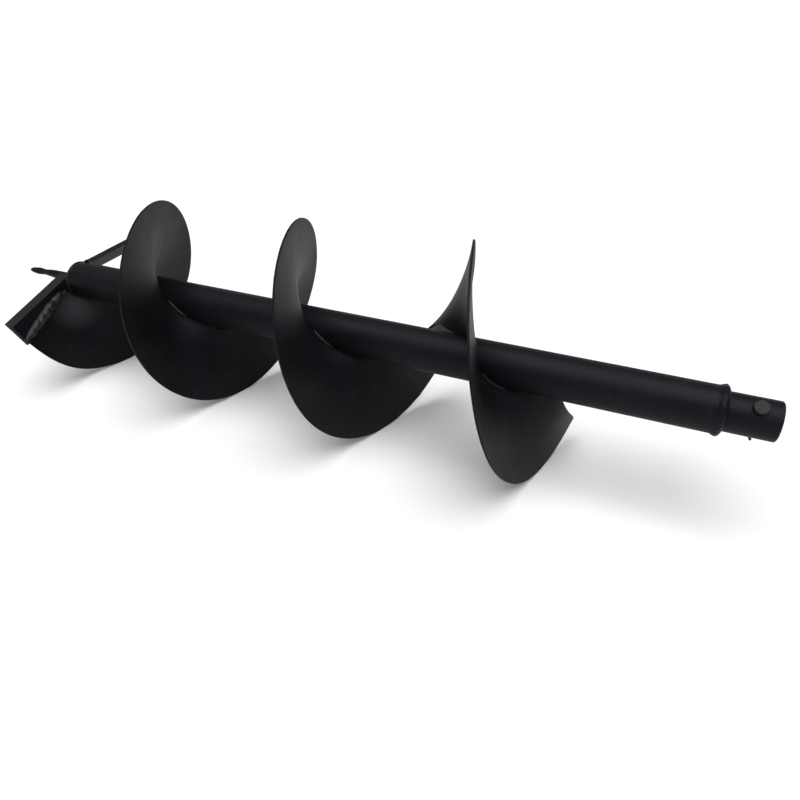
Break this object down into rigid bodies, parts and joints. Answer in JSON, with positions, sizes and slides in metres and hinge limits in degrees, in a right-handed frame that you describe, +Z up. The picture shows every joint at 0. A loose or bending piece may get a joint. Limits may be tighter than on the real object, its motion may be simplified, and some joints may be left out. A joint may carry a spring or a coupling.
{
  "type": "earth auger bit",
  "caption": "Earth auger bit with a tubular shaft, a helical flight, cutting blades, a spear pilot and a pinned drive socket.",
  "frame": {"origin": "on the tool axis in the open end face of the drive socket", "axes": "+X along the tool axis and out of the socket, +Z up with the auger lying on its flight"},
  "size_m": [0.795, 0.2016, 0.2024],
  "materials": {
    "painted_steel": "satin black enamel, softly mottled, rubbed thin on the edges",
    "painted_weld": "rippled weld metal under the same black enamel",
    "pin_steel": "black phosphated steel, slightly burnished",
    "spring_wire": "dark oiled spring wire"
  },
  "bodies": {
    "auger": {"shaft_tube": "painted_steel", "drive_socket": "painted_steel", "nose_cap": "painted_steel", "pilot_point": "painted_steel", "flight_ring_lower": "painted_steel", "flight_ring_middle": "painted_steel", "flight_ring_upper": "painted_steel", "cutting_blade_main": "painted_steel", "cutting_blade_second": "painted_steel", "socket_weld": "painted_weld", "nose_weld": "painted_weld", "pilot_weld": "painted_weld", "ring_seam_weld_lower": "painted_weld", "ring_seam_weld_upper": "painted_weld", "flight_tacks_lower": "painted_weld", "flight_tacks_middle": "painted_weld", "flight_tacks_upper": "painted_weld", "blade_flight_weld": "painted_weld", "blade_root_weld_main": "painted_weld", "blade_root_weld_second": "painted_weld"},
    "pin": {"drive_pin": "pin_steel"},
    "clip": {"pin_clip": "spring_wire"}
  },
  "joints": [
    {"name": "pin_pull", "type": "slide", "parent": "auger", "child": "pin", "axis": [0, -0.5446, 0.8387], "range_m": [0, 0.044]},
    {"name": "clip_pull", "type": "slide", "parent": "pin", "child": "clip", "axis": [-0.4226, 0.7601, 0.4936], "range_m": [0, 0.0836]}
  ],
  "couplings": [
    {"joint": "clip_pull", "follows": "pin_pull", "ratio": 1.9}
  ]
}
